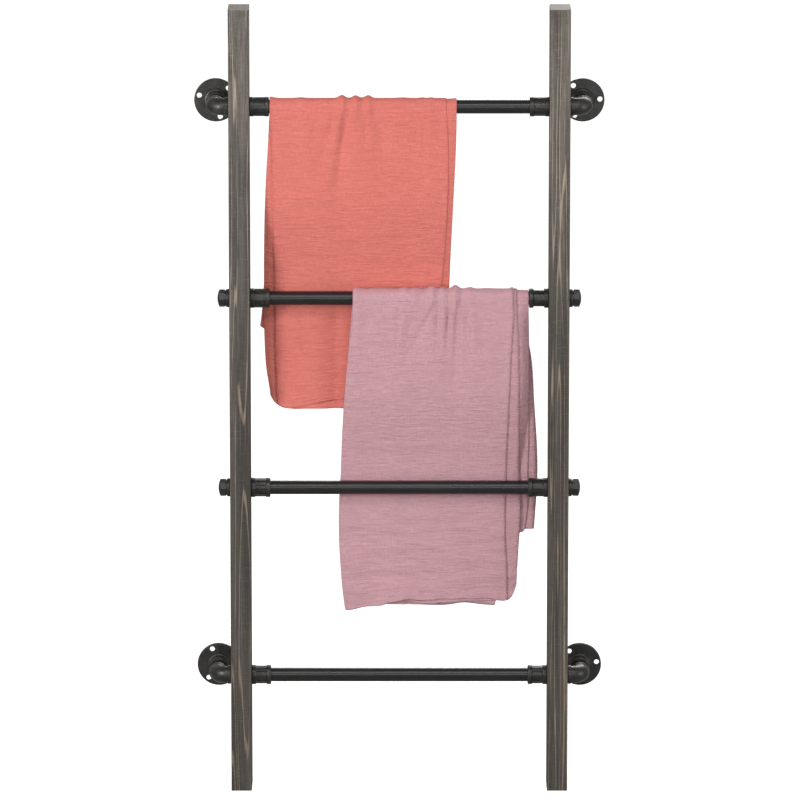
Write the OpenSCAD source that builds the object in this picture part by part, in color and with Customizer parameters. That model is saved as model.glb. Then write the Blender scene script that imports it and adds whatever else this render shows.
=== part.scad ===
// Wall-mounted ladder rack: two wooden stiles, four iron-pipe rungs and two folded throws.
// Millimetres. X runs to the right, Y towards the wall, Z up. The feet stand at Z = 0.

/* [Stiles] */
// Length of a stile
stile_len = 1219; // [1100:1:1300]
// Width of a stile, seen from the front
stile_w = 31.5; // [28:0.5:40]
// Depth of a stile, from its front face to its back face
stile_d = 64; // [50:1:70]
// Bevel on the long edges of a stile
stile_edge = 1; // [0.5:0.1:2]
// Width of the rack over the outer faces of the stiles
rack_w = 520; // [500:1:560]

/* [Rungs] */
// Height of the bottom rung's axis
rung_low_z = 177.5; // [150:0.5:200]
// Distance from one rung to the next
rung_pitch = 296.2; // [280:0.1:310]
// Outer diameter of the pipe
pipe_od = 21.3; // [20:0.1:22]
// Inner diameter of the pipe
pipe_id = 15.8; // [14:0.1:17]
// Distance from the rungs' axis to the wall
wall_gap = 72; // [68:1:90]

/* [Fittings] */
// Length of a coupling
coupling_len = 30; // [28:1:34]
// Diameter of the beads round the ends of a coupling
bead_d = 30; // [29:0.5:32]
// Width of a coupling's bead
bead_w = 7; // [5:0.5:8]
// Diameter of a coupling between its beads
coupling_body_d = 25.4; // [25:0.1:27]
// Distance from an elbow's end to the axis of its other leg
elbow_reach = 21; // [20.5:0.5:24]
// Diameter of an elbow's tube
elbow_d = 26.5; // [26:0.1:28]
// Diameter of the beads round the ends of an elbow
elbow_bead_d = 29; // [28:0.5:31]
// How far an end cap stands out from its stile
cap_len = 18.5; // [17:0.5:22]
// Distance across the flats of an end cap's octagonal head
cap_flats = 25; // [24:0.5:27]
// Diameter of a wall flange's plate
flange_d = 67; // [64:1:75]
// Thickness of a wall flange's plate
flange_t = 4.5; // [4:0.5:6]
// Height of a wall flange from the wall to the top of its hub
flange_h = 20; // [18:1:24]
// Diameter of the circle that the screw holes lie on
hole_circle_d = 53; // [50:0.5:56]
// Diameter of a screw hole
hole_d = 8; // [5:0.5:9]

/* [Throws] */
// Thickness of the cloth layers that hang in one fall of a throw
fall_t = 4.2; // [3.5:0.1:4.4]
// Height of the coral throw's front hem
coral_front_z = 595; // [560:1:640]
// Height of the coral throw's back hem
coral_back_z = 717; // [690:1:740]
// Height of the mauve throw's front hem
mauve_front_z = 287; // [260:1:320]
// Height of the mauve throw's back hem
mauve_back_z = 405; // [380:1:430]

/* [Hidden] */
$fn = 64;
LEVELS = ["bottom", "lower", "upper", "top"];
SIDES = ["left", "right"];
SIGNS = [-1, 1];
ENDS = [0, 3];
MIDDLES = [1, 2];

pipe_r = pipe_od / 2;
rung_y = (stile_d / 2 - wall_gap) / 2;
wall_y = rung_y + wall_gap;
outer_x = rack_w / 2;
inner_x = outer_x - stile_w;
rung_end_x = inner_x - coupling_len / 2;
rung_z = [for (level = [0:3]) rung_low_z + level * rung_pitch];

pipe_clear = 0.05;
stile_clear = 0.25;
thread_gap = 0.5;
socket_depth = 12;
socket_r = pipe_r + pipe_clear;
elbow_bend_r = 14.5;
elbow_bead_w = 6;
elbow_x = outer_x + elbow_reach;
rib_w = 4;
coupling_ribs = 4;
cap_collar_d = 28;
cap_collar_w = 5.5;
cap_neck_d = 24;
cap_neck_w = 1.5;
cap_dome_r = 30;
cap_edge = 1.6;
flange_holes = 3;
hub_d = 29;
hub_foot_d = 35;
hub_foot_h = 7;
edge_r = 1.5;

// Turn of each coupling about the rung, which sets where its ribs come: [left, right] from the bottom up
COUPLING_TURN = [[40, 50], [35, 12], [8, 40], [4, 10]];
// Turn of each wall flange about its own axis, which sets where its holes come: [left, right]
FLANGE_TURN = [[113, 8], [0, 0], [0, 0], [164, 3]];

rub_clear = 0.3;
wrap_in = pipe_r + rub_clear;
wrap_out = wrap_in + fall_t;
behind_pipe = rung_y + pipe_r + rub_clear;
behind_bead = rung_y + bead_d / 2 + 0.6;

// Where the left and right edges of each throw come, as [x, height], from the rung down
CORAL_LEFT = [[-196.5, 1080], [-196.5, 1050], [-202, 985], [-206, 900], [-207.5, 790], [-207, 700]];
CORAL_FRONT_LEFT = concat(CORAL_LEFT, [[-204, 650], [-196, 611], [-184, 597], [-170, 595]]);
CORAL_RIGHT = [[87, 1080], [87, 1050], [83, 910], [76, 770]];
MAUVE_LEFT = [[-70.5, 785], [-70.5, 755], [-80, 650], [-88, 550], [-91.5, 474]];
MAUVE_FRONT_LEFT = concat(MAUVE_LEFT, [[-92.5, 380], [-89, 335], [-84, 300], [-80, 287]]);
MAUVE_FRONT_RIGHT = [[197.3, 785], [197.3, 755], [190, 700], [187, 474], [184, 380], [178, 310], [168, 287]];
MAUVE_BACK_RIGHT = [[197.3, 785], [197.3, 750], [202, 690], [208, 600], [212.5, 500], [208, 405]];

// Quarter-round corner of radius r about c, as points from angle a to angle a + 90
function corner(c, r, a, steps = 4) =
    [for (i = [0:steps]) c + r * [cos(a + 90 * i / steps), sin(a + 90 * i / steps)]];

// A line of [y, z] points moved sideways by t, which makes the far face of a hanging layer
function shifted(line, t) = [for (p = line) [p[0] + t, p[1]]];
function reversed(line) = [for (i = [len(line) - 1:-1:0]) line[i]];

// Puts a shape drawn along +Z onto a rung, pointing outwards along X from x
module on_rung(level, side, x) {
    translate([SIGNS[side] * x, rung_y, rung_z[level]])
        rotate([0, SIGNS[side] * 90, 0]) children();
}

// Puts a shape drawn along +Z onto a wall leg, pointing towards the wall from y
module on_wall_leg(level, side, y) {
    translate([SIGNS[side] * elbow_x, y, rung_z[level]])
        rotate([-90, 0, 0]) children();
}

module pipe(length) {
    difference() {
        cylinder(r = pipe_r, h = length);
        translate([0, 0, -1]) cylinder(d = pipe_id, h = length + 2);
    }
}

// Round band with softened edges, from z = 0 up
module band(d, w, r = edge_r) {
    rotate_extrude()
        polygon(concat([[0, 0]], corner([d / 2 - r, r], r, -90), corner([d / 2 - r, w - r], r, 0), [[0, w]]));
}

module stile(side) {
    x0 = side == 0 ? -outer_x : inner_x;
    e = stile_edge;
    color([0.34, 0.32, 0.3]) difference() {
        translate([x0, rung_y - stile_d / 2, 0]) linear_extrude(stile_len)
            polygon([[e, 0], [stile_w - e, 0], [stile_w, e], [stile_w, stile_d - e],
                [stile_w - e, stile_d], [e, stile_d], [0, stile_d - e], [0, e]]);
        for (z = rung_z)
            translate([x0 - 1, rung_y, z]) rotate([0, 90, 0])
                cylinder(r = pipe_r + stile_clear, h = stile_w + 2);
    }
}

module rung(level) {
    half = rung_end_x - thread_gap;
    color([0.12, 0.12, 0.12])
        translate([-half, rung_y, rung_z[level]]) rotate([0, 90, 0]) pipe(2 * half);
}

module coupling(level, side) {
    color([0.14, 0.14, 0.14]) on_rung(level, side, inner_x - coupling_len)
        rotate(COUPLING_TURN[level][side]) difference() {
            union() {
                band(bead_d, bead_w);
                cylinder(d = coupling_body_d, h = coupling_len - 1);
                translate([0, 0, coupling_len - bead_w]) band(bead_d, bead_w);
                for (i = [0:coupling_ribs - 1])
                    rotate(i * 360 / coupling_ribs)
                        translate([socket_r + 1, -rib_w / 2, 1])
                            cube([bead_d / 2 - socket_r - 1.6, rib_w, coupling_len - 2]);
            }
            translate([0, 0, -1]) cylinder(r = socket_r, h = coupling_len + 2);
        }
}

// Short pipe through the stile, from the coupling to the fitting outside
module stile_nipple(level, side) {
    x0 = rung_end_x + thread_gap;
    color([0.12, 0.12, 0.12])
        on_rung(level, side, x0) pipe(outer_x + socket_depth - thread_gap - x0);
}

// Bent fitting that turns a rung's end towards the wall
module elbow(level, side) {
    straight = elbow_reach - elbow_bend_r;
    color([0.16, 0.16, 0.15])
        translate([SIGNS[side] * elbow_x, rung_y, rung_z[level]])
            mirror([side == 0 ? 1 : 0, 0, 0])
                difference() {
                    union() {
                        bend(elbow_d / 2);
                        elbow_ends() {
                            cylinder(d = elbow_d, h = straight);
                            band(elbow_bead_d, elbow_bead_w);
                        }
                    }
                    bend(pipe_id / 2);
                    elbow_ends() {
                        translate([0, 0, -1]) cylinder(r = socket_r, h = socket_depth + 1);
                        cylinder(d = pipe_id, h = straight + 0.1);
                    }
                }
}

// Quarter turn of round bar from the leg along -X to the leg along +Y
module bend(r) {
    translate([-elbow_bend_r, elbow_bend_r, 0])
        rotate([0, 0, -90])
            rotate_extrude(angle = 90) translate([elbow_bend_r, 0]) circle(r = r);
}

// Both open ends of an elbow, with Z pointing into the fitting
module elbow_ends() {
    translate([-elbow_reach, 0, 0]) rotate([0, 90, 0]) children();
    translate([0, elbow_reach, 0]) rotate([90, 0, 0]) children();
}

module wall_nipple(level, side) {
    y0 = rung_y + elbow_reach - socket_depth + thread_gap;
    color([0.12, 0.12, 0.12])
        on_wall_leg(level, side, y0) pipe(wall_y - flange_h + socket_depth - y0);
}

module wall_flange(level, side) {
    color([0.13, 0.13, 0.13]) on_wall_leg(level, side, wall_y)
        mirror([0, 0, 1]) difference() {
            rotate_extrude() flange_profile();
            translate([0, 0, -1]) cylinder(r = socket_r, h = flange_h + 2);
            for (i = [0:flange_holes - 1])
                rotate(-FLANGE_TURN[level][side] + i * 360 / flange_holes)
                    translate([hole_circle_d / 2, 0, -1]) cylinder(d = hole_d, h = flange_t + 2);
        }
}

// Half section of a wall flange: plate, stepped foot and hub, from the wall outwards
module flange_profile() {
    polygon(concat(
        [[0, 0], [flange_d / 2, 0]],
        corner([flange_d / 2 - edge_r, flange_t - edge_r], edge_r, 0),
        [[hub_foot_d / 2 + 1, flange_t], [hub_foot_d / 2, flange_t + 1], [hub_foot_d / 2 - 0.5, hub_foot_h]],
        [[hub_d / 2 + 1, hub_foot_h + 0.5], [hub_d / 2, hub_foot_h + 1.5]],
        corner([hub_d / 2 - edge_r, flange_h - edge_r], edge_r, 0),
        [[0, flange_h]]
    ));
}

module end_cap(level, side) {
    color([0.13, 0.13, 0.13]) on_rung(level, side, outer_x) difference() {
        union() {
            band(cap_collar_d, cap_collar_w);
            cylinder(d = cap_neck_d, h = cap_collar_w + cap_neck_w + 0.5);
            cap_head();
        }
        translate([0, 0, -1]) cylinder(r = socket_r, h = socket_depth + 1.5);
    }
}

// Octagonal head with a softly domed end
module cap_head() {
    corner_r = cap_flats / 2 / cos(22.5);
    foot = cap_collar_w + cap_neck_w;
    intersection() {
        translate([0, 0, foot]) rotate(90) cylinder(r = corner_r, h = cap_len - foot, $fn = 8);
        translate([0, 0, cap_len - cap_dome_r]) sphere(r = cap_dome_r, $fn = 96);
        cylinder(r1 = corner_r - cap_edge + cap_len, r2 = corner_r - cap_edge, h = cap_len);
    }
}

// Slab that follows a line of [y, z] points, cut to the outline of one fall
module fall(line, left, right) {
    intersection() {
        translate([-rack_w / 2, 0, 0]) rotate([90, 0, 90])
            linear_extrude(rack_w) polygon(concat(line, reversed(shifted(line, fall_t))));
        translate([0, rung_y + 60, 0]) rotate([90, 0, 0])
            linear_extrude(120) polygon(concat(left, reversed(right)));
    }
}

// Half ring of cloth over the top of a rung, between x0 and x1
module wrap(level, x0, x1) {
    translate([x0, rung_y, rung_z[level]]) rotate([90, 0, 90]) linear_extrude(x1 - x0)
        difference() {
            circle(r = wrap_out);
            circle(r = wrap_in);
            translate([-wrap_out - 1, -2 * wrap_out]) square([2 * wrap_out + 2, 2 * wrap_out]);
        }
}

// Face of a fall's front side from the rung at the given level down to z_end, ending at y_low
function front_line(level, y_low, z_end) = [
    [rung_y - wrap_out, rung_z[level]],
    [rung_y - wrap_out, rung_z[level] - 60],
    [rung_y - pipe_r, rung_z[level] - 160],
    [y_low, rung_z[level - 1] + 40],
    [y_low, z_end]
];

function back_line(level, y_mid, y_low, z_end) = [
    [behind_pipe, rung_z[level]],
    [y_mid, rung_z[level] - 60],
    [y_mid, rung_z[level] - 182],
    [y_low, rung_z[level - 1] + 40],
    [y_low, z_end]
];

module coral_throw() {
    color([0.88, 0.47, 0.43]) union() {
        wrap(3, CORAL_LEFT[0][0], CORAL_RIGHT[0][0]);
        fall(front_line(3, behind_bead, coral_front_z), CORAL_FRONT_LEFT,
            concat(CORAL_RIGHT, [[76, coral_front_z]]));
        fall(back_line(3, behind_pipe, behind_bead + fall_t + rub_clear, coral_back_z),
            concat(CORAL_LEFT, [[-207, coral_back_z]]), concat(CORAL_RIGHT, [[74, coral_back_z]]));
    }
}

module mauve_throw() {
    color([0.78, 0.6, 0.63]) union() {
        wrap(2, MAUVE_LEFT[0][0], MAUVE_BACK_RIGHT[0][0]);
        fall(front_line(2, behind_pipe, mauve_front_z), MAUVE_FRONT_LEFT, MAUVE_FRONT_RIGHT);
        fall(back_line(2, behind_pipe, behind_bead + 0.3, mauve_back_z),
            concat(MAUVE_LEFT, [[-91.5, mauve_back_z]]), MAUVE_BACK_RIGHT);
    }
}

for (side = [0, 1])
    stile(side);

for (level = [0:3])
    rung(level);

for (level = [0:3], side = [0, 1]) {
    place = str(LEVELS[level], "_", SIDES[side]);
    coupling(level, side);
    stile_nipple(level, side);
}

for (level = ENDS, side = [0, 1]) {
    place = str(LEVELS[level], "_", SIDES[side]);
    elbow(level, side);
    wall_nipple(level, side);
    wall_flange(level, side);
}

for (level = MIDDLES, side = [0, 1]) {
    place = str(LEVELS[level], "_", SIDES[side]);
    end_cap(level, side);
}

coral_throw();
mauve_throw();
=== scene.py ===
"""Looks of a wall-mounted ladder rack with a folded gauze throw over each of two rungs.

The rack's pipes, fittings and stiles are the CAD nodes with procedural materials. Each throw is one
sheet of cloth, folded in four, that replaces its plain CAD solid. Metres, +X right, +Y to the wall.
"""
import math
import bpy
import numpy as np
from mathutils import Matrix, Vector


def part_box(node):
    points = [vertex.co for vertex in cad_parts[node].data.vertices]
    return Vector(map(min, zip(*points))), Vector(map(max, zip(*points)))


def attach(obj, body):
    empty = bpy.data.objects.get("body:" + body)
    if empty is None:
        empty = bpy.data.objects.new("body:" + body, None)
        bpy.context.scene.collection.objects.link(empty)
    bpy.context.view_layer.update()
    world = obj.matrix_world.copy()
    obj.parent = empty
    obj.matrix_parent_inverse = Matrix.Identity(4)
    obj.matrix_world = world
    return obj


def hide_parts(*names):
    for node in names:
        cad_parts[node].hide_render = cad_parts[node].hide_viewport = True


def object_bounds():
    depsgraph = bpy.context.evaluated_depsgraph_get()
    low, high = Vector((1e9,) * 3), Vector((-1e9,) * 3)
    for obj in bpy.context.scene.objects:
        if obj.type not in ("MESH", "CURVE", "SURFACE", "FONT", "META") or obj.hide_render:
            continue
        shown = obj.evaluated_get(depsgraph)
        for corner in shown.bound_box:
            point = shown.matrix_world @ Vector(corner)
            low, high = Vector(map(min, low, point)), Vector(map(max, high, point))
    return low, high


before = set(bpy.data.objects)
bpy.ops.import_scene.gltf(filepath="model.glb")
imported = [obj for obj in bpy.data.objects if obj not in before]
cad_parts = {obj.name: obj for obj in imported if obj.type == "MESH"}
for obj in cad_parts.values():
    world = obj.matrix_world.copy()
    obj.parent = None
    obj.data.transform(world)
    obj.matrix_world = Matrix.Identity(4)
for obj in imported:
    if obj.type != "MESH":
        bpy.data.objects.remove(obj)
cad_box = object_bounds()

MM = 0.001
SEED = 11


# ---------------------------------------------------------------- helpers

def curve(points, scale=MM):
    """Smooth function through [at, value] points given in millimetres, held flat past its ends."""
    at, value = np.array(sorted(points), float).T * scale
    slope = np.gradient(value, at)

    def follow(x):
        x = np.clip(np.asarray(x, float), at[0], at[-1])
        i = np.clip(np.searchsorted(at, x) - 1, 0, len(at) - 2)
        span = at[i + 1] - at[i]
        t = (x - at[i]) / span
        rise = value[i + 1] - value[i]
        start, end = slope[i] * span, slope[i + 1] * span
        return value[i] + t * (start + t * (3 * rise - 2 * start - end + t * (start + end - 2 * rise)))

    return follow


def step(low, high, x):
    """0 below low, 1 above high, smooth between them."""
    t = np.clip((np.asarray(x, float) - low) / (high - low), 0, 1)
    return t * t * (3 - 2 * t)


def ripple_field(seed, cells=64):
    """Smooth seeded noise of two coordinates, from -1 to 1, with one bump or so in each unit cell."""
    table = np.random.default_rng(seed).uniform(-1, 1, (cells, cells))

    def field(x, y):
        x, y = np.broadcast_arrays(np.asarray(x, float), np.asarray(y, float))
        i, j = np.floor(x).astype(int), np.floor(y).astype(int)
        tx, ty = x - i, y - j
        tx, ty = tx * tx * (3 - 2 * tx), ty * ty * (3 - 2 * ty)
        a, b = table[i % cells, j % cells], table[(i + 1) % cells, j % cells]
        c, d = table[i % cells, (j + 1) % cells], table[(i + 1) % cells, (j + 1) % cells]
        return (a * (1 - tx) + b * tx) * (1 - ty) + (c * (1 - tx) + d * tx) * ty

    return field


def mesh_piece(name, points, faces, material):
    mesh = bpy.data.meshes.new(name)
    mesh.from_pydata([tuple(p) for p in points], [], faces)
    mesh.polygons.foreach_set("use_smooth", [True] * len(mesh.polygons))
    mesh.materials.append(material)
    mesh.update()
    piece = bpy.data.objects.new(name, mesh)
    bpy.context.scene.collection.objects.link(piece)
    return piece


def node(tree, kind, inputs=None, **settings):
    """Adds a shader node. An input that is a socket is linked, and any other is its value."""
    made = tree.nodes.new(kind)
    for name, value in settings.items():
        setattr(made, name, value)
    for name, value in (inputs or {}).items():
        if isinstance(value, bpy.types.NodeSocket):
            tree.links.new(value, made.inputs[name])
        else:
            made.inputs[name].default_value = value
    return made


def material(name, **principled):
    """A new material, its tree and its Principled shader, whose constant inputs are set here."""
    made = bpy.data.materials.new(name)
    made.use_nodes = True
    shader = made.node_tree.nodes["Principled BSDF"]
    for socket, value in principled.items():
        shader.inputs[socket.replace("_", " ")].default_value = value
    return made, made.node_tree, shader


def scaled(tree, coordinates, scale):
    return node(tree, "ShaderNodeMapping", {"Vector": coordinates, "Scale": scale}).outputs["Vector"]


def noise(tree, vector, scale, detail=3.0, rough=0.5, distortion=0.0):
    return node(tree, "ShaderNodeTexNoise", {
        "Vector": vector, "Scale": scale, "Detail": detail, "Roughness": rough, "Distortion": distortion,
    }).outputs["Fac"]


def math_node(tree, operation, a, b):
    return node(tree, "ShaderNodeMath", {0: a, 1: b}, operation=operation).outputs[0]


def span(tree, value, from_low, from_high, to_low=0.0, to_high=1.0):
    """The value mapped from one range to another, clamped and smooth."""
    return node(tree, "ShaderNodeMapRange", {
        "Value": value, "From Min": from_low, "From Max": from_high, "To Min": to_low, "To Max": to_high,
    }, interpolation_type="SMOOTHSTEP").outputs["Result"]


def colour_sockets(made):
    return [s for s in made.inputs if s.type == "RGBA"], [s for s in made.outputs if s.type == "RGBA"][0]


def blend_colours(tree, share, a, b):
    """Colour mixed from a to b by share."""
    made = node(tree, "ShaderNodeMix", data_type="RGBA")
    sockets, result = colour_sockets(made)
    for socket, value in ((made.inputs[0], share), (sockets[0], a), (sockets[1], b)):
        if isinstance(value, bpy.types.NodeSocket):
            tree.links.new(value, socket)
        else:
            socket.default_value = value
    return result


def bump(tree, shader, height, distance, strength=1.0, under=None):
    inputs = {"Height": height, "Distance": distance, "Strength": strength}
    if under is not None:
        inputs["Normal"] = under
    made = node(tree, "ShaderNodeBump", inputs)
    tree.links.new(made.outputs["Normal"], shader.inputs["Normal"])
    return made.outputs["Normal"]


# ---------------------------------------------------------------- materials

def stained_wood():
    """Softwood with a thin grey-brown stain and wavering pale growth lines, darker downwards."""
    made, tree, shader = material("stained_wood", Roughness=0.62)
    stile_top = cad_box[1][2]
    place = node(tree, "ShaderNodeTexCoord").outputs["Object"]
    z = node(tree, "ShaderNodeSeparateXYZ", {"Vector": place}).outputs["Z"]
    rings = noise(tree, scaled(tree, place, (40, 30, 1.0)), 1.0, 2.0, 0.35)
    bands = noise(tree, scaled(tree, place, (95, 70, 3.0)), 1.0, 3.0, 0.6)
    thin = noise(tree, scaled(tree, place, (560, 380, 6.0)), 1.0, 2.0, 0.6)
    fibres = noise(tree, scaled(tree, place, (1300, 1300, 30)), 1.0, 3.0, 0.6)
    stain = noise(tree, scaled(tree, place, (30, 30, 9.0)), 1.0, 4.0, 0.6)
    fading = noise(tree, scaled(tree, place, (60, 60, 6.0)), 1.0, 2.0)
    sawn = noise(tree, scaled(tree, place, (60, 60, 800)), 1.0, 2.0, 0.6)
    tone = span(tree, bands, 0.36, 0.64)
    low = blend_colours(tree, tone, (0.040, 0.034, 0.028, 1), (0.078, 0.066, 0.055, 1))
    high = blend_colours(tree, tone, (0.100, 0.087, 0.075, 1), (0.185, 0.162, 0.140, 1))
    height = span(tree, math_node(tree, "ADD", z, math_node(tree, "MULTIPLY", stain, 0.3)), 0.62, 1.42)
    body = blend_colours(tree, height, low, high)
    pale = blend_colours(tree, height, (0.26, 0.20, 0.15, 1), (0.50, 0.42, 0.33, 1))
    from_line = math_node(tree, "PINGPONG", math_node(tree, "MULTIPLY", rings, 13.0), 0.5)
    line = span(tree, from_line, 0.02, 0.12, 1.0, 0.0)
    line_share = math_node(tree, "MULTIPLY", line, span(tree, fading, 0.30, 0.50))
    lined = blend_colours(tree, line_share, body, pale)
    drawn = blend_colours(tree, span(tree, thin, 0.56, 0.72, 0.0, 0.3), lined, pale)
    scuffed = blend_colours(tree, span(tree, stain, 0.50, 0.66, 0.0, 0.5), drawn, low)
    fibred = blend_colours(tree, span(tree, fibres, 0.32, 0.6, 0.6, 0.0), scuffed, (0.03, 0.026, 0.023, 1))
    marked = blend_colours(tree, span(tree, sawn, 0.54, 0.74, 0.0, 0.2), fibred, pale)
    end_grain = span(tree, z, stile_top - 1.2 * MM, stile_top - 0.4 * MM)
    ends = blend_colours(tree, end_grain, marked, (0.24, 0.20, 0.16, 1))
    tree.links.new(ends, shader.inputs["Base Color"])
    first = bump(tree, shader, fibres, 0.0004, 0.7)
    second = bump(tree, shader, sawn, 0.0005, 0.5, first)
    bump(tree, shader, from_line, 0.0006, 0.5, second)
    return made


def black_pipe():
    """Steel pipe with satin black paint, a little uneven along its length."""
    made, tree, shader = material("black_pipe", Metallic=0.0, IOR=1.55)
    place = node(tree, "ShaderNodeTexCoord").outputs["Object"]
    cloudy = noise(tree, scaled(tree, place, (25, 60, 60)), 1.0, 3.0)
    fine = noise(tree, place, 900.0, 2.0)
    tint = blend_colours(tree, cloudy, (0.004, 0.004, 0.004, 1), (0.010, 0.0095, 0.009, 1))
    tree.links.new(tint, shader.inputs["Base Color"])
    tree.links.new(span(tree, cloudy, 0.3, 0.7, 0.27, 0.33), shader.inputs["Roughness"])
    bump(tree, shader, fine, 0.00004, 0.15)
    return made


def cast_iron(name, rubbed, edge):
    """Black-coated malleable casting with a sandy skin.

    rubbed is how much of the coating is worn to olive brown, and edge is how much its dusty skin
    shows where it turns away.
    """
    made, tree, shader = material(name, Metallic=0.0, IOR=1.6, Sheen_Weight=edge, Sheen_Roughness=0.22)
    shader.inputs["Sheen Tint"].default_value = (0.80, 0.74, 0.55, 1)
    place = node(tree, "ShaderNodeTexCoord").outputs["Object"]
    sand = noise(tree, place, 620.0, 4.0, 0.6)
    lumps = noise(tree, place, 190.0, 2.0)
    cloudy = noise(tree, place, 60.0, 3.0, 0.6)
    grain = span(tree, sand, 0.38, 0.72)
    coat = blend_colours(tree, grain, (0.006, 0.006, 0.006, 1), (0.019, 0.018, 0.017, 1))
    wear = span(tree, cloudy, 0.45, 0.62, 0.0, rubbed)
    worn = blend_colours(tree, wear, coat, (0.12, 0.105, 0.068, 1))
    tree.links.new(worn, shader.inputs["Base Color"])
    tree.links.new(span(tree, sand, 0.3, 0.7, 0.30, 0.50), shader.inputs["Roughness"])
    first = bump(tree, shader, sand, 0.0002, 0.4)
    bump(tree, shader, lumps, 0.0008, 0.3, first)
    return made


def gauze(name, base, deep, light):
    """Crinkled cotton gauze, with painted shade in the hollows of its crinkles and in soft upright bands.
    The cloth attribute gives each point's place on the flat sheet, in metres.
    """
    made, tree, shader = material(name, Roughness=0.92, Specular_IOR_Level=0.15,
                                  Sheen_Weight=0.15, Sheen_Roughness=0.5)
    shader.inputs["Sheen Tint"].default_value = light
    flat = node(tree, "ShaderNodeAttribute", attribute_name="cloth").outputs["Vector"]
    weft = noise(tree, scaled(tree, flat, (90, 760, 1)), 1.0, 2.0, 0.6)
    warp = noise(tree, scaled(tree, flat, (700, 90, 1)), 1.0, 2.0, 0.6)
    crinkle = noise(tree, scaled(tree, flat, (38, 290, 1)), 1.0, 3.0, 0.6, 0.5)
    upright = noise(tree, scaled(tree, flat, (240, 30, 1)), 1.0, 3.0, 0.6, 0.5)
    slubs = noise(tree, scaled(tree, flat, (26, 600, 1)), 1.0, 2.0, 0.5)
    shade_bands = noise(tree, scaled(tree, flat, (24, 8, 1)), 1.0, 2.0)
    weave = math_node(tree, "ADD", warp, weft)
    tone = blend_colours(tree, span(tree, weave, 0.8, 1.2, 0.45, 1.0), deep, base)
    lit = blend_colours(tree, span(tree, slubs, 0.56, 0.70, 0.0, 0.2), tone, light)
    # Painted shade: the colour goes towards deep where the crinkle bump is low, in the hollows of the
    # crinkles.
    crease_shaded = blend_colours(tree, span(tree, crinkle, 0.36, 0.52, 0.35, 0.0), lit, deep)
    # Painted shade: soft upright bands darkened towards deep, standing in for the shade of broad soft
    # folds.
    cloudy = blend_colours(tree, span(tree, shade_bands, 0.3, 0.7, 0.0, 0.2), crease_shaded, deep)
    tree.links.new(cloudy, shader.inputs["Base Color"])
    first = bump(tree, shader, weave, 0.0004, 0.7)
    second = bump(tree, shader, upright, 0.0011, 0.7, first)
    bump(tree, shader, crinkle, 0.0020, 1.0, second)
    return made


def sewing_thread(name, base, deep):
    """Cotton thread, a little uneven in colour."""
    made, tree, shader = material(name, Roughness=0.8, Sheen_Weight=0.2)
    place = node(tree, "ShaderNodeTexCoord").outputs["Object"]
    tint = blend_colours(tree, noise(tree, place, 400.0, 2.0), deep, base)
    tree.links.new(tint, shader.inputs["Base Color"])
    bump(tree, shader, noise(tree, place, 2500.0, 1.0), 0.0001, 0.5)
    return made


WOOD = stained_wood()
PIPE = black_pipe()
CAST = cast_iron("black_cast_iron", 0.12, 0.1)
RUBBED = cast_iron("rubbed_cast_iron", 0.2, 0.5)
CORAL = gauze("coral_gauze", (0.745, 0.218, 0.183, 1), (0.60, 0.157, 0.131, 1), (0.83, 0.32, 0.275, 1))
MAUVE = gauze("mauve_gauze", (0.610, 0.355, 0.397, 1), (0.475, 0.262, 0.297, 1), (0.715, 0.465, 0.50, 1))
CORAL_THREAD = sewing_thread("coral_thread", (0.78, 0.25, 0.21, 1), (0.60, 0.16, 0.13, 1))
MAUVE_THREAD = sewing_thread("mauve_thread", (0.66, 0.40, 0.42, 1), (0.50, 0.29, 0.31, 1))
# By the start of a node's name. The first match counts, so stile_nipple stands before stile.
FINISHES = {
    "stile_nipple": PIPE, "stile": WOOD, "rung": PIPE, "coupling": CAST, "elbow": RUBBED,
    "wall_nipple": PIPE, "wall_flange": CAST, "end_cap": CAST,
}


def finish_rack():
    """Gives every CAD node that stays its finish, by the start of its name."""
    for name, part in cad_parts.items():
        for start, finish in FINISHES.items():
            if name.startswith(start):
                part.data.materials.clear()
                part.data.materials.append(finish)
                break


# ---------------------------------------------------------------- throws

# The rung, and the room that a fall keeps from it and from the couplings' beads.
PIPE_R = 0.01065
BEAD_CLEAR_R = 15.6 * MM
RUB_CLEAR = 0.3 * MM
LAYER_MARGIN = 0.32 * MM

# The cloth. Layers are numbered outwards from the rung, from 0 to TOP_LAYER.
CLOTH_T = 0.55 * MM
HEM_T = 0.9 * MM
FALL_T = 4.2 * MM
TOP_LAYER = 3
FOLD_X = 2.2 * MM
HEM_REACH = 0.05
THREAD_R = 0.55 * MM
VALLEY_GAIN = 1.4

# The mesh's spacing.
ROW_STEP = 2.5 * MM
PLEAT_STEP = 2.2 * MM
FINE_STEP = 3.5 * MM
COARSE_STEP = 8.0 * MM
FOLD_POINTS = 7
ARC_ROWS = 20
HEM_ROWS = 3

# Angles round a rung, from its front, over which the gathers change from front to back, in degrees.
BACK_FROM = 100
BACK_BY = 165


def rung_axis(name):
    low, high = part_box(name)
    return (low + high) / 2


top = rung_axis("rung_top")
upper = rung_axis("rung_upper")
lower = rung_axis("rung_lower")
in_front = top.y - PIPE_R - RUB_CLEAR - FALL_T
behind_pipe = top.y + PIPE_R + RUB_CLEAR
behind_bead = top.y + BEAD_CLEAR_R


def fall_line(points):
    """Y of a fall's face by height, from [z, y] points in metres."""
    return curve(points, 1.0)


def panel_shares(layer, spec):
    """Shares across a panel from left to right, closer together where the cloth is pleated."""
    spacing = FINE_STEP if layer >= TOP_LAYER - 1 else COARSE_STEP
    left, start, end, right = (x * MM for x in spec["pleated"])
    parts = [np.linspace(a, b, int((b - a) / gap) + 1)[:-1]
             for a, b, gap in ((left, start, spacing), (start, end, PLEAT_STEP), (end, right, spacing))]
    at = np.concatenate(parts + [[right]])
    return (at - left) / (right - left)


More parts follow.
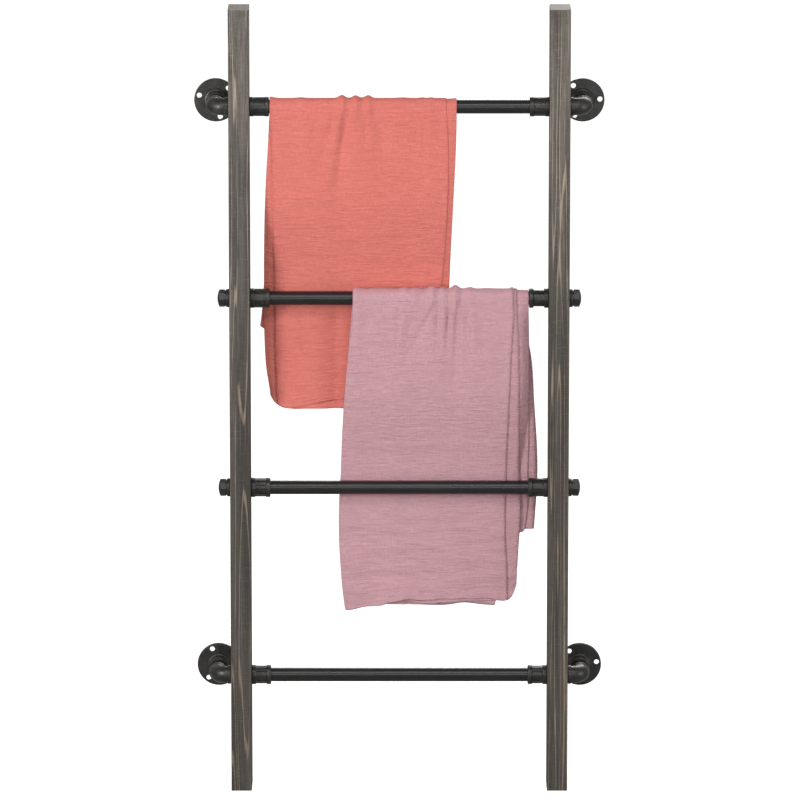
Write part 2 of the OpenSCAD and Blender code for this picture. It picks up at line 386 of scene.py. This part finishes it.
def panel_columns(spec):
    """The sheet's columns from one free edge to the other, as arrays.

    They say whether a column is in a fold, its layer, the layer that it folds to, its share across the
    panel or its angle round the fold, and whether the fold is on the right.
    """
    columns = []
    order = spec["order"]
    for i, (layer, start, end) in enumerate(order):
        shares = panel_shares(layer, spec)
        if start == "right":
            shares = shares[::-1]
        columns += [(False, layer, layer, share, False) for share in shares]
        if i + 1 < len(order):
            angles = np.linspace(-math.pi / 2, math.pi / 2, FOLD_POINTS + 2)[1:-1]
            columns += [(True, layer, order[i + 1][0], angle, end == "right") for angle in angles]
    return [np.array(values) for values in zip(*columns)]


def sheet_rows(z_top, spec):
    """The sheet's rows from the front hem over the rung to the back hem: (place, height or angle)."""
    falls = {}
    for fall in ("front", "back"):
        end = spec[fall]["z_end"] * MM
        count = int((z_top - end) / ROW_STEP)
        falls[fall] = [(fall, z) for z in np.linspace(end, z_top, count + 1)[:-1]]
    arc = [("arc", a) for a in np.linspace(0, math.pi, ARC_ROWS + 1)]
    return falls["front"] + arc + falls["back"][::-1]


def lay_sheet(axis, spec):
    """Every point of a folded sheet over a rung, as grid[row, column]."""
    fold, layer, partner, value, on_right = panel_columns(spec)
    rows = sheet_rows(axis.z, spec)
    wrap = PIPE_R + RUB_CLEAR + LAYER_MARGIN
    pitch = spec["pitch"]
    turn = np.where(fold, value, 0.0)
    depth = np.where(fold, (layer + partner) / 2 + (partner - layer) / 2 * np.sin(turn), layer)
    bulge = FOLD_X * (1 - np.cos(turn))
    inset = {side: np.array([0.0 if (k, side) in spec["free"] else FOLD_X for k in layer])
             for side in ("left", "right")}
    layers = range(TOP_LAYER + 1)
    edges = {(fall, side): [curve(spec[fall][side][k]) for k in layers]
             for fall in ("front", "back") for side in ("left", "right")}
    hems = {fall: [curve(spec[fall]["hem"][k]) for k in layers] for fall in ("front", "back")}

    grid = np.zeros((len(rows), len(depth), 3))
    for r, (where, at) in enumerate(rows):
        fall = where if where != "arc" else ("front" if at < math.pi / 2 else "back")
        z = axis.z if where == "arc" else at
        left = np.array([edge(z) for edge in edges[fall, "left"]])
        right = np.array([edge(z) for edge in edges[fall, "right"]])
        across = right[layer] - left[layer] - inset["left"] - inset["right"]
        x = np.where(fold, np.where(on_right, right[layer] - bulge, left[layer] + bulge),
                     left[layer] + inset["left"] + value * across)
        if where == "arc":
            behind = step(BACK_FROM, BACK_BY, math.degrees(at))
            kept = 1 - behind * (1 - spec["gather_behind"])
            radius = wrap + depth * pitch + spec["gather"](x, 0.0) * kept
            y = axis.y - radius * math.cos(at)
            z = axis.z + radius * math.sin(at)
        else:
            end = spec[fall]["z_end"] * MM
            hem = sum(np.clip(1 - np.abs(depth - k), 0, 1) * hems[fall][k](x) for k in layers)
            z = at + (hem - end) * math.exp(-(at - end) / HEM_REACH)
            gather = spec["gather"](x, axis.z - z)
            if fall == "front":
                spread = depth * pitch * (1 + spec["opening"](x, z))
                inner_face = spec["front"]["face"](z) + FALL_T - LAYER_MARGIN
                y = inner_face - spread - gather - spec["front"]["relief"](x, z)
            else:
                out = gather * spec["gather_behind"] + spec["back"]["relief"](x, z)
                y = spec["back"]["face"](z) + LAYER_MARGIN + depth * pitch + out
        grid[r, :, 0], grid[r, :, 1], grid[r, :, 2] = x, y, z
    return grid, depth


def build_cloth(name, grid, depth, finish):
    """The sheet's mesh, with each point's place on the flat cloth, and the flat width and length."""
    rows, columns = grid.shape[:2]
    gaps = np.linalg.norm(np.diff(grid[rows // 2], axis=0), axis=1)
    outer = int(np.argmax(depth))
    lengths = np.linalg.norm(np.diff(grid[:, outer], axis=0), axis=1)
    u = np.concatenate([[0], np.cumsum(gaps)])
    v = np.concatenate([[0], np.cumsum(lengths)])
    cloth = np.zeros((rows, columns, 3))
    cloth[:, :, 0] = u[None, :]
    cloth[:, :, 1] = v[:, None]
    faces = [(r * columns + c, r * columns + c + 1, (r + 1) * columns + c + 1, (r + 1) * columns + c)
             for r in range(rows - 1) for c in range(columns - 1)]
    piece = mesh_piece(name, grid.reshape(-1, 3), faces, finish)
    attribute = piece.data.attributes.new("cloth", "FLOAT_VECTOR", "POINT")
    attribute.data.foreach_set("vector", cloth.reshape(-1).astype(np.float32))
    hem = piece.vertex_groups.new(name="hem")
    front_hem = range(HEM_ROWS * columns)
    back_hem = range((rows - HEM_ROWS) * columns, rows * columns)
    hem.add([*front_hem, *back_hem], 1.0, "REPLACE")
    thick = piece.modifiers.new("thickness", "SOLIDIFY")
    thick.thickness = HEM_T
    thick.vertex_group = "hem"
    thick.thickness_vertex_group = CLOTH_T / HEM_T
    thick.offset = 0
    return piece, (round(float(u[-1]), 3), round(float(v[-1]), 3))


def thread(path, guide, radius=THREAD_R, sides=4):
    """Points and faces of a thread along a path. guide is a direction that the path crosses."""
    along = np.gradient(path, axis=0)
    along /= np.linalg.norm(along, axis=1)[:, None] + 1e-9
    first = np.cross(along, guide)
    first /= np.linalg.norm(first, axis=1)[:, None] + 1e-9
    second = np.cross(along, first)
    angles = np.arange(sides) * 2 * math.pi / sides
    ring = (first[:, None] * np.cos(angles)[None, :, None]
            + second[:, None] * np.sin(angles)[None, :, None])
    points = (path[:, None] + radius * ring).reshape(-1, 3)
    faces = [(i * sides + j, i * sides + (j + 1) % sides,
              (i + 1) * sides + (j + 1) % sides, (i + 1) * sides + j)
             for i in range(len(path) - 1) for j in range(sides)]
    ends = [tuple(range(sides))[::-1], tuple(len(points) - sides + j for j in range(sides))]
    return points, faces + ends


def sewn(line, beside, period, per_turn, over_edge, place):
    """A thread that winds along a line of the cloth.

    beside is the next line of points in the cloth. per_turn is the number of points in a turn, and
    over_edge says that the turns go round the edge. place gives the thread's (inward, outward)
    offset at each angle of its turns, in metres.
    """
    lengths = np.concatenate([[0], np.cumsum(np.linalg.norm(np.diff(line, axis=0), axis=1))])
    inward = beside - line
    inward /= np.linalg.norm(inward, axis=1)[:, None] + 1e-9
    along = np.gradient(line, axis=0)
    along /= np.linalg.norm(along, axis=1)[:, None] + 1e-9
    out = np.cross(along, inward)
    count = int(lengths[-1] / period) * per_turn
    at = np.linspace(0, lengths[-1], count + 1)

    def sample(values):
        return np.stack([np.interp(at, lengths, values[:, k]) for k in range(3)], axis=1)

    angle = at / period * 2 * math.pi
    across, outward = place(angle)
    path = sample(line) + sample(inward) * across[:, None] + sample(out) * outward[:, None]
    return thread(path, sample(along if over_edge else inward))


def overcast(line, beside, width):
    """Thread sewn over and over a free edge, in a band of this width."""
    def place(angle):
        rise = np.sin(angle)
        inward = width / 2 * (1 - np.cos(angle)) - 0.4 * MM
        outward = 0.85 * MM * np.sign(rise) * np.abs(rise) ** 0.4
        return inward, outward
    return sewn(line, beside, 4.2 * MM, 10, True, place)


def running_stitch(line, beside):
    """Thread sewn in and out along a hem."""
    return sewn(line, beside, 3.2 * MM, 6, False, lambda a: (0 * a, 0.62 * MM * np.sin(a)))


def join_meshes(meshes):
    """One list of points and one of faces from several."""
    points, faces = [], []
    for more_points, more_faces in meshes:
        faces += [tuple(i + len(points) for i in face) for face in more_faces]
        points += list(more_points)
    return points, faces


def clear_of_rung(points, axis):
    """The points, with any that lie inside a rung moved straight out to just off its surface."""
    points = np.array(points)
    across = points[:, 1:] - np.array([axis.y, axis.z])
    distance = np.linalg.norm(across, axis=1, keepdims=True)
    points[:, 1:] += across * np.clip((PIPE_R + RUB_CLEAR / 2) / distance - 1, 0, None)
    return points


# A ridge or a valley is (x at the rung, how far it leans over 100 mm, height, width, length), in mm.

def run(line, x, s, start=0.0):
    """One ridge's height by place: a rounded crest that widens and dies away down the cloth."""
    at, lean, height, width, length = line
    centre = (at + lean * np.minimum(s, 0.16) / 0.1) * MM
    spread = width * MM * (1 + s / 0.14)
    dying = np.exp(-np.maximum(s - start, 0) / (length * MM))
    return height * MM * np.exp(-((x - centre) / spread) ** 2) * dying


def gathers(ridges, valleys):
    """Outward relief of the soft folds that run down from a rung."""
    def relief(x, s):
        total = sum(run(line, x, s) for line in ridges)
        opened = step(0.0, 0.05, s)
        return total - VALLEY_GAIN * opened * sum(run(line, x, s, 0.03) for line in valleys)
    return relief


broad = ripple_field(SEED)
mid = ripple_field(SEED + 1)
small = ripple_field(SEED + 2)


def crinkles(x, z, size=1.0, longer=1.0):
    """Fine wavy creases across the cloth, in metres. longer stretches the larger ones."""
    level = z + 0.05 * x + 5 * MM * broad(x / 0.05 + 1.7, z / 0.07)
    large = mid(x / (0.036 * longer), level / (0.0085 * (0.5 + 0.5 * longer)))
    return size * MM * (0.5 * large + 0.25 * small(x / 0.02, level / 0.0048))


def soft_waves(x, z):
    """Soft upright waves, from 0 to 2.4 mm deep, in metres."""
    return MM * (1.2 + 0.85 * broad(x / 0.036 + 3.1, z / 0.28) + 0.35 * mid(x / 0.018, z / 0.16))


def away(z, rung):
    """0 where a fall passes behind a rung, 1 well above and below it."""
    return step(0.02, 0.09, np.abs(z - rung.z))


def rounded(x, edge, width, amount):
    """How far cloth curls back near an edge, in metres.

    width and amount are in millimetres, and width is positive where the cloth lies to the right.
    """
    return amount * MM * step(width * MM, 0.0, x - edge)


def valley(x, at, depth, width):
    """How deep one straight upright valley is at x. depth is in millimetres, and so is the result."""
    return depth * np.exp(-((x - at) / width) ** 2)


def coral_spec():
    end_front, end_back = 593, 717
    outer_left = [(593, -198), (620, -201), (650, -204.5), (700, -207), (790, -207.5), (900, -205.5),
                  (985, -201.5), (1050, -197), (1066, -197)]
    front_left = [(593, -188), (660, -191), (790, -192.5), (900, -194), (1000, -195.8), (1066, -196.8)]
    hidden_left = [(593, -186), (800, -190), (1066, -193)]
    outer_right = [(593, 74), (770, 75.2), (910, 81.8), (1050, 87), (1066, 87)]
    front_right = [(593, 60), (770, 64), (830, 68.6), (910, 73.2), (1030, 73.5), (1066, 71)]
    back_left = [(717, -213.5), (740, -211), (790, -207.5), (900, -205.5), (1066, -197)]
    back_hidden = [(717, -206), (800, -202), (1066, -193)]
    back_free = [(717, -208), (800, -203), (1066, -196.8)]
    back_right = [(717, 74), (800, 77), (910, 81.8), (1066, 87)]
    back_fold = [(717, 66), (800, 68), (910, 72), (1066, 71)]
    corner = [(-200, 617), (-194, 606), (-184, 597.5), (-165, 593.5), (-140, 593.5), (60, 595)]
    front_hem = [(-190, 602), (-180, 596), (-150, 597), (-125, 602), (-100, 607), (0, 606), (60, 605)]
    left_edge, right_edge = curve(outer_left), curve(outer_right)
    layer_edge, layer_fold = curve(front_left), curve(front_right)
    fold_lines = gathers(
        [(-87.4, -23, 4.6, 6.0, 60), (-66.6, -6, 4.0, 6.0, 45), (-47.5, 0, 4.2, 6.0, 42),
         (-193, 0, 1.0, 6, 60), (35, 2, 0.9, 4, 40), (48, 2, 0.9, 4, 40), (84, 0, 0.8, 5, 60),
         (-150, -3, 0.9, 8, 60), (5, 4, 0.8, 9, 60)],
        [(-98, -24, 2.6, 4.0, 50), (-80, -12, 3.8, 4.2, 130), (-52, 0, 3.4, 3.2, 30), (38, 0, 2.0, 2.6, 60),
         (-30, 8, 2.4, 7, 60), (-128, -6, 1.8, 6, 70), (-3, 3, 1.4, 5, 60), (60, 0, 1.2, 6, 90)])

    def opening(x, z):
        """Share by which the layers part here and there along the front hem."""
        near_hem = np.exp(-(z - 0.60) / 0.010)
        here = step(0.1, 0.7, 0.5 + 0.5 * small(x / 0.022, 0.5))
        return 0.5 * near_hem * here

    def wallward(x, z):
        """How far both falls move towards the wall from their line, never negative."""
        curl = rounded(x, left_edge(z), 9, 2.2) + rounded(x, right_edge(z), -9, 2.2)
        curl += rounded(x, layer_edge(z) - 1 * MM, 7, 1.6) + rounded(x, layer_fold(z) + 1 * MM, -4, 0.7)
        low = step(0.80, 0.70, z)
        valleys = valley(x, -0.097, 2.6, 0.010) + valley(x, -0.147, 1.4, 0.008)
        return (0.25 + 0.75 * away(z, upper)) * soft_waves(x, z) + curl + low * valleys * MM

    def front_relief(x, z):
        s = top.z - z
        size = 0.65 + 0.95 * step(0.05, 0.4, s) * (0.4 + 0.6 * away(z, upper))
        return step(0.0, 0.05, s) * (crinkles(x, z, size, 1.3) - wallward(x, z))

    def back_relief(x, z):
        return step(0.0, 0.05, top.z - z) * (crinkles(x, z, 0.6) + wallward(x, z) + 0.5 * MM)

    return {
        "order": [(0, "left", "right"), (1, "right", "left"), (2, "left", "right"), (3, "right", "left")],
        "free": {(0, "left"), (3, "left")}, "pleated": (-197, -130, -22, 87),
        "pitch": 0.62 * MM, "gather": fold_lines, "gather_behind": 1.0, "opening": opening,
        "bands": (4.0, 4.5), "slot": "coral_gauze",
        "front": {
            "z_end": end_front, "relief": front_relief,
            "face": fall_line([(0.59, behind_bead), (0.70, behind_bead), (0.785, behind_bead),
                               (0.81, behind_bead - 1.6 * MM), (0.84, behind_bead - 8.5 * MM),
                               (0.875, behind_bead - 17.5 * MM), (0.91, -0.0292), (0.955, -0.0332),
                               (1.006, in_front), (1.04, in_front), (1.0661, in_front)]),
            "left": [hidden_left, outer_left, outer_left, front_left],
            "right": [outer_right, outer_right, front_right, front_right],
            "hem": [corner, corner, corner, front_hem],
        },
        "back": {
            "z_end": end_back, "relief": back_relief,
            "face": fall_line([(0.717, behind_bead + FALL_T + RUB_CLEAR),
                               (0.785, behind_bead + FALL_T + RUB_CLEAR),
                               (0.81, behind_bead + FALL_T), (0.88, behind_pipe + 0.6 * MM),
                               (0.92, behind_pipe), (1.0, behind_pipe), (1.0661, behind_pipe)]),
            "left": [back_hidden, back_left, back_left, back_free],
            "right": [back_right, back_right, back_fold, back_fold],
            "hem": [[(-215, 722), (-205, 718), (80, 717)], [(-215, 724), (-205, 717), (80, 719)],
                    [(-215, 722), (-205, 716), (80, 718)], [(-212, 722), (-200, 719), (80, 721)]],
        },
    }


def mauve_spec():
    end_front, end_back = 284, 403
    outer_left = [(284, -85), (303, -87.5), (347, -91), (380, -92.9), (458, -92.4), (497, -90),
                  (590, -85.9), (645, -81.7), (697, -76.6), (755, -71.4), (770, -71)]
    inner_left = [(z, x + 3) for z, x in outer_left]
    hem_right = [(284, 167.5), (333, 166.5), (404, 163.5), (487, 164.4), (577, 167.5), (686, 171.8),
                 (749, 174.9), (770, 174.2)]
    serged_right = [(284, 181), (310, 181.5), (336, 182.5), (369, 184), (402, 186), (457, 187),
                    (497, 186), (600, 184), (690, 183), (740, 181), (770, 179.5)]
    fold_right = [(284, 147), (300, 152), (330, 166), (400, 178), (457, 187.5), (487, 191),
                  (540, 196), (600, 198), (740, 197.6), (770, 197.6)]
    back_left = [(403, -90), (497, -90), (590, -86), (697, -77), (770, -71)]
    back_inner = [(z, x + 3) for z, x in back_left]
    back_near = [(403, 193), (420, 196), (497, 198), (600, 199.5), (690, 199), (770, 197.6)]
    back_serged = [(403, 207), (497, 211), (602, 206), (690, 198), (770, 179.5)]
    back_far = [(403, 208), (497, 213), (602, 207.6), (690, 200), (770, 174.2)]
    left_edge, right_edge = curve(outer_left), curve(fold_right)
    fold_lines = gathers(
        [(-64, 0, 2.0, 5, 45), (6.8, -3, 2.0, 6.0, 60), (24, -12, 1.4, 5, 50), (50, -30, 4.6, 6.0, 50),
         (66.8, 0, 2.6, 5.0, 60), (85.6, -2, 5.6, 6.2, 60), (108, 4, 2.2, 6.5, 60), (172, 0, 1.0, 4, 60),
         (-30, -8, 0.8, 8, 60), (135, 4, 0.7, 9, 60)],
        [(56, -46, 3.6, 4.2, 50), (60, -4, 4.2, 3.0, 28), (76, -4, 5.0, 3.0, 42), (89, -3, 5.0, 3.8, 85),
         (-1, -4, 2.4, 3.0, 50), (102, 6, 2.6, 4.5, 80), (122, 8, 1.8, 6, 70), (-45, -8, 1.6, 7, 80),
         (26, -20, 1.8, 6, 90)])

    def opening(x, z):
        """Share by which the layers part along the middle of the front hem."""
        middle = step(-0.055, -0.02, x) * step(0.115, 0.075, x)
        near_hem = np.exp(-(z - 0.288) / 0.012)
        here = step(0.1, 0.7, 0.5 + 0.5 * small(x / 0.016, 2.5))
        return 2.2 * middle * near_hem * here

    def curl(x, z):
        """How far the front fall's sides turn back."""
        right = rounded(x, right_edge(z), -13, 9.0) * step(0.44, 0.54, z)
        return rounded(x, left_edge(z), 9, 3.0) + right

    def wallward(x, z):
        return (0.2 + 0.8 * away(z, lower)) * soft_waves(x + 0.5, z)

    def front_relief(x, z):
        s = upper.z - z
        free = away(z, lower)
        size = (0.7 + 1.9 * step(0.05, 0.40, s)) * (0.15 + 0.85 * free)
        return step(0.0, 0.05, s) * (crinkles(x + 0.3, z, size, 1.6) - wallward(x, z) - curl(x, z))

    def back_relief(x, z):
        shared = step(0.59, 0.52, z)
        behind = shared * (wallward(x, z) + rounded(x, left_edge(z), 9, 3.0) + 0.3 * MM)
        forward = -1.2 * MM * (0.5 + 0.5 * broad(x / 0.05 + 7.7, z / 0.3)) * step(0.0, 0.05, z - 0.6)
        return step(0.0, 0.05, upper.z - z) * (behind + forward + crinkles(x, z, 0.3))

    return {
        "order": [(2, "right", "left"), (1, "left", "right"), (0, "right", "left"), (3, "left", "right")],
        "free": {(2, "right"), (3, "right")}, "pleated": (-78, -25, 128, 190),
        "pitch": 1.1 * MM, "gather": fold_lines, "gather_behind": 0.0, "opening": opening,
        "bands": (7.0, 4.6), "slot": "mauve_gauze",
        "front": {
            "z_end": end_front, "relief": front_relief,
            "face": fall_line([(0.28, behind_pipe), (0.40, behind_pipe), (0.489, behind_pipe),
                               (0.514, behind_pipe - 1.4 * MM), (0.544, behind_pipe - 7.0 * MM),
                               (0.58, behind_pipe - 14.5 * MM), (0.615, -0.0295), (0.66, -0.0333),
                               (0.71, in_front), (0.744, in_front), (0.7699, in_front)]),
            "left": [outer_left, inner_left, inner_left, outer_left],
            "right": [fold_right, fold_right, serged_right, hem_right],
            "hem": [[(-90, 286), (-20, 286), (20, 285), (80, 285.5), (95, 288), (130, 285), (147, 284)],
                    [(-90, 287), (60, 286.5), (100, 289), (147, 285)],
                    [(-90, 285), (0, 290), (60, 288), (95, 290), (150, 292), (165, 292), (170, 294),
                     (174, 298), (177, 304), (180, 312), (182, 320)],
                    [(-88, 276), (-75, 277), (-55, 281.5), (-25, 286), (-8, 290.5), (10, 293.5),
                     (35, 292.5), (60, 294.5), (120, 295), (140, 295), (150, 292.5), (168, 292.5)]],
        },
        "back": {
            "z_end": end_back, "relief": back_relief,
            "face": fall_line([(0.40, behind_pipe + 4.95 * MM), (0.50, behind_pipe + 4.95 * MM),
                               (0.515, behind_pipe + 4.7 * MM), (0.57, behind_pipe + 0.6 * MM),
                               (0.60, behind_pipe), (0.66, behind_pipe), (0.7699, behind_pipe)]),
            "left": [back_left, back_inner, back_inner, back_left],
            "right": [back_near, back_near, back_serged, back_far],
            "hem": [[(-90, 402), (185, 399), (193, 402), (198, 412)],
                    [(-90, 402), (185, 400), (193, 403), (198, 413)],
                    [(-90, 403), (210, 404)], [(-90, 404), (210, 405)]],
        },
    }


def build_throw(body, rung, spec, finish, thread_finish):
    """A throw and its sewing on a rung, both riding on the throw's body and named after it."""
    axis = rung_axis(rung)
    grid, depth = lay_sheet(axis, spec)
    cloth, flat = build_cloth(body + "_cloth", grid, depth, finish)
    first_band, last_band = spec["bands"]
    points, faces = join_meshes([
        overcast(grid[:, 0], grid[:, 1], first_band * MM),
        overcast(grid[:, -1], grid[:, -2], last_band * MM),
        running_stitch(grid[HEM_ROWS], grid[HEM_ROWS + 1]),
        running_stitch(grid[-HEM_ROWS - 1], grid[-HEM_ROWS - 2]),
    ])
    stitches = mesh_piece(body + "_stitching", clear_of_rung(points, axis), faces, thread_finish)
    for piece in (cloth, stitches):
        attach(piece, body)
    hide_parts(body)


# ---------------------------------------------------------------- stage

WORLD_ON_OBJECT = 0.30
WORLD_SEEN = 1.05
FLOOR_HALF = 60.0
CAMERA_DISTANCE = 10.0
CAMERA_PITCH = math.radians(11.2)
CAMERA_AIM = Vector((0.001, top.y, 0.6108))
LENS_MM = 293.0
SENSOR_MM = 36


def area_light(name, place, target, size, power, tint=(1, 1, 1)):
    lamp = bpy.data.lights.new(name, "AREA")
    lamp.shape = "RECTANGLE"
    lamp.size, lamp.size_y = size
    lamp.energy = power
    lamp.color = tint
    holder = bpy.data.objects.new(name, lamp)
    holder.location = place
    holder.rotation_euler = (Vector(target) - Vector(place)).to_track_quat("-Z", "Y").to_euler()
    bpy.context.scene.collection.objects.link(holder)


def seen_only(tree, unseen, seen):
    """A strength that is one value to the camera and another as light on the object."""
    ray = node(tree, "ShaderNodeLightPath").outputs["Is Camera Ray"]
    chosen = node(tree, "ShaderNodeMapRange", {"Value": ray, "To Min": unseen, "To Max": seen})
    return chosen.outputs["Result"]


def build_world():
    """White surroundings, brighter to the camera than as light on the object."""
    world = bpy.data.worlds.new("studio")
    world.use_nodes = True
    tree = world.node_tree
    tree.nodes.clear()
    strength = seen_only(tree, WORLD_ON_OBJECT, WORLD_SEEN)
    light = node(tree, "ShaderNodeBackground", {"Color": (1, 1, 1, 1), "Strength": strength})
    out = node(tree, "ShaderNodeOutputWorld")
    tree.links.new(light.outputs[0], out.inputs["Surface"])
    bpy.context.scene.world = world


def build_lights():
    """Five soft lights. The key, the strongest, stands to the left and in front."""
    area_light("overhead", place=(0.2, -2.3, 2.9), target=(0, 0, 0.72), size=(3.0, 0.7), power=30,
               tint=(1.0, 0.99, 0.97))
    area_light("front", place=(0.3, -3.0, 1.1), target=(0, 0, 0.6), size=(2.2, 0.4), power=14)
    area_light("key", place=(-2.2, -2.15, 1.35), target=(0, 0, 0.62), size=(0.5, 1.0), power=54,
               tint=(1.0, 0.985, 0.96))
    area_light("fill", place=(2.7, -1.2, 0.8), target=(0, 0, 0.62), size=(1.0, 1.8), power=22)
    area_light("back", place=(0.6, 2.6, 1.9), target=(0, 0, 0.7), size=(1.6, 1.2), power=34)


def build_floor():
    """A plain pale floor at the level of the feet, white to the camera."""
    half = FLOOR_HALF
    finish, tree, shader = material("floor_paper", Roughness=0.9)
    place = node(tree, "ShaderNodeTexCoord").outputs["Object"]
    tint = blend_colours(tree, noise(tree, place, 3.0), (0.34, 0.34, 0.34, 1), (0.38, 0.38, 0.38, 1))
    tree.links.new(tint, shader.inputs["Base Color"])
    shader.inputs["Emission Color"].default_value = (1, 1, 1, 1)
    tree.links.new(seen_only(tree, 0.0, 1.0), shader.inputs["Emission Strength"])
    corners = [(-half, -half, 0), (half, -half, 0), (half, half, 0), (-half, half, 0)]
    floor = mesh_piece("floor", corners, [(0, 1, 2, 3)], finish)


def build_camera():
    """Long lens looking slightly down at the middle of the rack."""
    lens = bpy.data.cameras.new("camera")
    lens.sensor_width = SENSOR_MM
    lens.lens = LENS_MM
    lens.clip_end = 200
    holder = bpy.data.objects.new("camera", lens)
    away_from_aim = Vector((0, -math.cos(CAMERA_PITCH), math.sin(CAMERA_PITCH)))
    holder.location = CAMERA_AIM + CAMERA_DISTANCE * away_from_aim
    holder.rotation_euler = (math.pi / 2 - CAMERA_PITCH, 0, 0)
    bpy.context.scene.collection.objects.link(holder)
    bpy.context.scene.camera = holder


bpy.context.scene.view_settings.view_transform = "Standard"
build_camera()
build_world()
build_lights()
build_floor()
finish_rack()
build_throw("coral_throw", "rung_top", coral_spec(), CORAL, CORAL_THREAD)
build_throw("mauve_throw", "rung_upper", mauve_spec(), MAUVE, MAUVE_THREAD)
